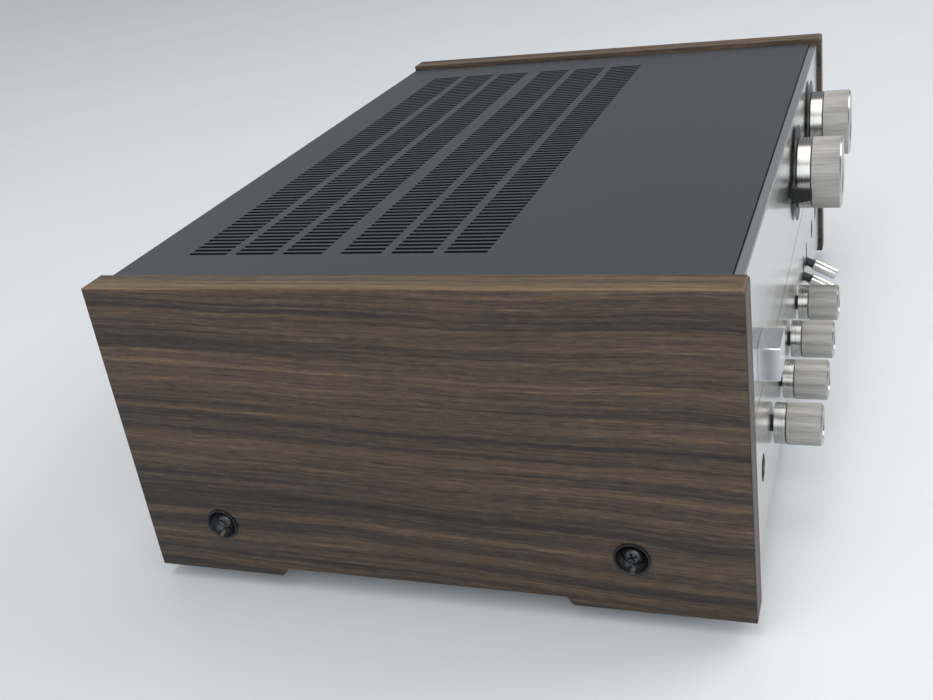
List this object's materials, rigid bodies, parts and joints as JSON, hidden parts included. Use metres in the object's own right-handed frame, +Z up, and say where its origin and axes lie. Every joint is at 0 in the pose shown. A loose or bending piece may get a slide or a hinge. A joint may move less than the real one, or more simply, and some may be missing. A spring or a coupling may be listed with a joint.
{
  "type": "integrated amplifier",
  "caption": "Wide hi-fi integrated amplifier: slotted black steel top, walnut side panels, brushed aluminium front with turned knobs, lever switches, push button and jack sockets.",
  "frame": {"origin": "centre of the bounding box in plan, on the plane the four feet rest on", "axes": "+X along the width, towards the right-hand end for someone facing the knobs; -Y out of the front panel; +Z up"},
  "size_m": [0.442, 0.3314, 0.1616],
  "materials": {
    "walnut": "satin",
    "black_steel": "satin",
    "zinc_steel": "satin",
    "panel_aluminium": "brushed",
    "knob_aluminium": "turned",
    "black_plastic": "matte",
    "bright_plated": "polished",
    "rubber": "matte",
    "black_screw": "satin",
    "core_steel": "matte",
    "copper_winding": "satin",
    "sink_aluminium": "matte",
    "can_steel": "satin",
    "capacitor_sleeve": "satin",
    "circuit_board": "satin"
  },
  "bodies": {
    "chassis": {"side_panel_left": "walnut", "side_panel_right": "walnut", "top_cover": "black_steel", "rear_panel": "black_steel", "bottom_plate": "zinc_steel", "chassis_side_left": "zinc_steel", "chassis_side_right": "zinc_steel", "sub_panel": "zinc_steel", "front_panel": "panel_aluminium", "volume_control": "zinc_steel", "selector_control": "zinc_steel", "selector_ring": "black_plastic", "phono_sockets": "black_plastic", "line_sockets": "black_plastic", "speaker_posts_1": "black_plastic", "speaker_posts_2": "black_plastic", "mains_inlet": "black_plastic", "ground_post": "bright_plated", "power_switch": "black_plastic", "phones_jack": "black_plastic", "dubbing_jack_1": "black_plastic", "dubbing_jack_2": "black_plastic", "transformer_core": "core_steel", "transformer_coil": "copper_winding", "heat_sink": "sink_aluminium", "output_transistor_1": "can_steel", "output_transistor_2": "can_steel", "filter_capacitor_1": "capacitor_sleeve", "filter_capacitor_2": "capacitor_sleeve", "main_board": "circuit_board", "speaker_control": "black_plastic", "bass_control": "black_plastic", "treble_control": "black_plastic", "mode_control": "black_plastic", "toggle_switch_1": "black_plastic", "toggle_switch_2": "black_plastic", "screw_cup_left_front": "black_plastic", "side_screw_left_front": "black_screw", "foot_left_front": "rubber", "screw_cup_left_rear": "black_plastic", "side_screw_left_rear": "black_screw", "foot_left_rear": "rubber", "screw_cup_right_front": "black_plastic", "side_screw_right_front": "black_screw", "foot_right_front": "rubber", "screw_cup_right_rear": "black_plastic", "side_screw_right_rear": "black_screw", "foot_right_rear": "rubber"},
    "volume": {"volume_knob": "knob_aluminium"},
    "selector": {"selector_knob": "knob_aluminium"},
    "balance": {"balance_lever": "black_plastic"},
    "power": {"power_button": "panel_aluminium"},
    "speaker": {"speaker_knob": "knob_aluminium"},
    "bass": {"bass_knob": "knob_aluminium"},
    "treble": {"treble_knob": "knob_aluminium"},
    "mode": {"mode_knob": "knob_aluminium"},
    "toggle_1": {"toggle_neck_1": "black_plastic", "toggle_cap_1": "bright_plated"},
    "toggle_2": {"toggle_neck_2": "black_plastic", "toggle_cap_2": "bright_plated"}
  },
  "joints": [
    {"name": "volume_turn", "type": "hinge", "parent": "chassis", "child": "volume", "pos_m": [0.022, -0.1405, 0.127], "axis": [0, 1, 0], "range_deg": [-150, 150]},
    {"name": "selector_turn", "type": "hinge", "parent": "chassis", "child": "selector", "pos_m": [0.12, -0.1405, 0.127], "axis": [0, 1, 0], "range_deg": [-75, 75]},
    {"name": "balance_turn", "type": "hinge", "parent": "chassis", "child": "balance", "pos_m": [0.022, -0.1405, 0.127], "axis": [0, 1, 0], "range_deg": [-40, 40]},
    {"name": "speaker_turn", "type": "hinge", "parent": "chassis", "child": "speaker", "pos_m": [-0.1223, -0.1405, 0.05], "axis": [0, 1, 0], "range_deg": [-60, 60]},
    {"name": "bass_turn", "type": "hinge", "parent": "chassis", "child": "bass", "pos_m": [-0.077, -0.1405, 0.05], "axis": [0, 1, 0], "range_deg": [-140, 140]},
    {"name": "treble_turn", "type": "hinge", "parent": "chassis", "child": "treble", "pos_m": [-0.03, -0.1405, 0.05], "axis": [0, 1, 0], "range_deg": [-140, 140]},
    {"name": "mode_turn", "type": "hinge", "parent": "chassis", "child": "mode", "pos_m": [0.0184, -0.1405, 0.05], "axis": [0, 1, 0], "range_deg": [-60, 60]},
    {"name": "toggle_1_flip", "type": "hinge", "parent": "chassis", "child": "toggle_1", "pos_m": [0.068, -0.1325, 0.05], "axis": [-1, 0, 0], "range_deg": [0, 56]},
    {"name": "toggle_2_flip", "type": "hinge", "parent": "chassis", "child": "toggle_2", "pos_m": [0.092, -0.1325, 0.05], "axis": [-1, 0, 0], "range_deg": [0, 56]},
    {"name": "power_press", "type": "slide", "parent": "chassis", "child": "power", "axis": [0, 1, 0], "range_m": [0, 0.0035], "stiffness_N_per_m": 400}
  ]
}
